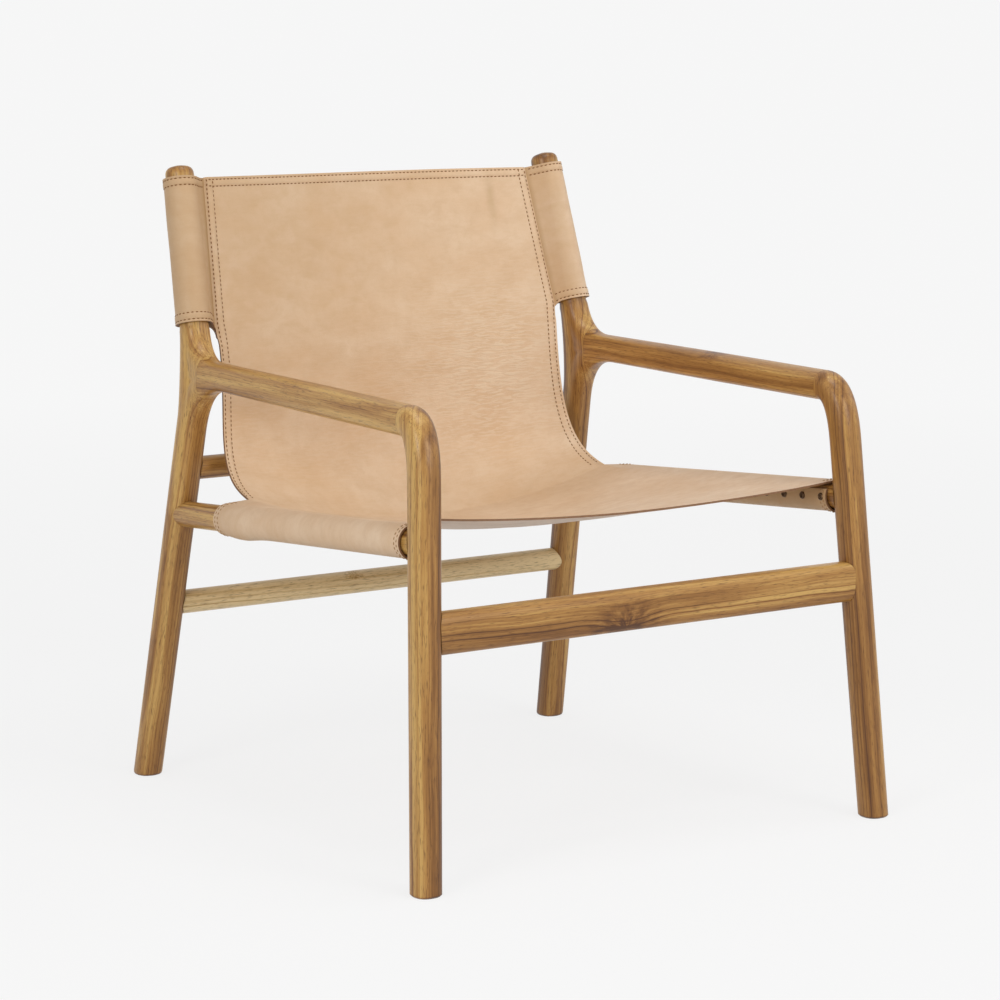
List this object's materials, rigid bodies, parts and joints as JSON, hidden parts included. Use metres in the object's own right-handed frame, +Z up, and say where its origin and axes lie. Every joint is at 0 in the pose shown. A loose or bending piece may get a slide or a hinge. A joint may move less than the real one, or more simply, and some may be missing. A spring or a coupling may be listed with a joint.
{
  "type": "sling lounge chair",
  "caption": "Low lounge chair: a rounded hardwood frame with arms and raked legs, and a thick leather hide slung as seat and back, sleeved on the rear posts and screwed round the side rails.",
  "frame": {"origin": "on the floor, under the middle of the chair's box", "axes": "+X to the right as seen from the front, +Y to the rear, +Z up; the front faces -Y"},
  "size_m": [0.6794, 0.7172, 0.7808],
  "materials": {
    "teak": "oiled",
    "pale_teak": "oiled",
    "leather": "natural",
    "screw_bronze": "dark bronze"
  },
  "bodies": {
    "root": {"front_stretcher": "teak", "rear_rail": "teak", "front_leg_left": "teak", "rear_leg_left": "teak", "arm_left": "teak", "side_rail_left": "teak", "front_leg_right": "teak", "rear_leg_right": "teak", "arm_right": "teak", "side_rail_right": "teak", "rear_stretcher": "pale_teak", "elbow_dowel_upper_left": "pale_teak", "elbow_dowel_lower_left": "pale_teak", "arm_dowel_upper_left": "pale_teak", "arm_dowel_lower_left": "pale_teak", "elbow_dowel_upper_right": "pale_teak", "elbow_dowel_lower_right": "pale_teak", "arm_dowel_upper_right": "pale_teak", "arm_dowel_lower_right": "pale_teak", "hide": "leather", "back_sleeve_left": "leather", "back_sleeve_right": "leather", "flap_screw_left_1": "screw_bronze", "flap_screw_left_2": "screw_bronze", "flap_screw_left_3": "screw_bronze", "flap_screw_left_4": "screw_bronze", "flap_screw_left_5": "screw_bronze", "flap_screw_left_6": "screw_bronze", "flap_screw_left_7": "screw_bronze", "flap_screw_left_8": "screw_bronze", "flap_screw_left_9": "screw_bronze", "flap_screw_left_10": "screw_bronze", "flap_screw_left_11": "screw_bronze", "flap_screw_left_12": "screw_bronze", "flap_screw_left_13": "screw_bronze", "flap_screw_right_1": "screw_bronze", "flap_screw_right_2": "screw_bronze", "flap_screw_right_3": "screw_bronze", "flap_screw_right_4": "screw_bronze", "flap_screw_right_5": "screw_bronze", "flap_screw_right_6": "screw_bronze", "flap_screw_right_7": "screw_bronze", "flap_screw_right_8": "screw_bronze", "flap_screw_right_9": "screw_bronze", "flap_screw_right_10": "screw_bronze", "flap_screw_right_11": "screw_bronze", "flap_screw_right_12": "screw_bronze", "flap_screw_right_13": "screw_bronze"}
  },
  "joints": []
}
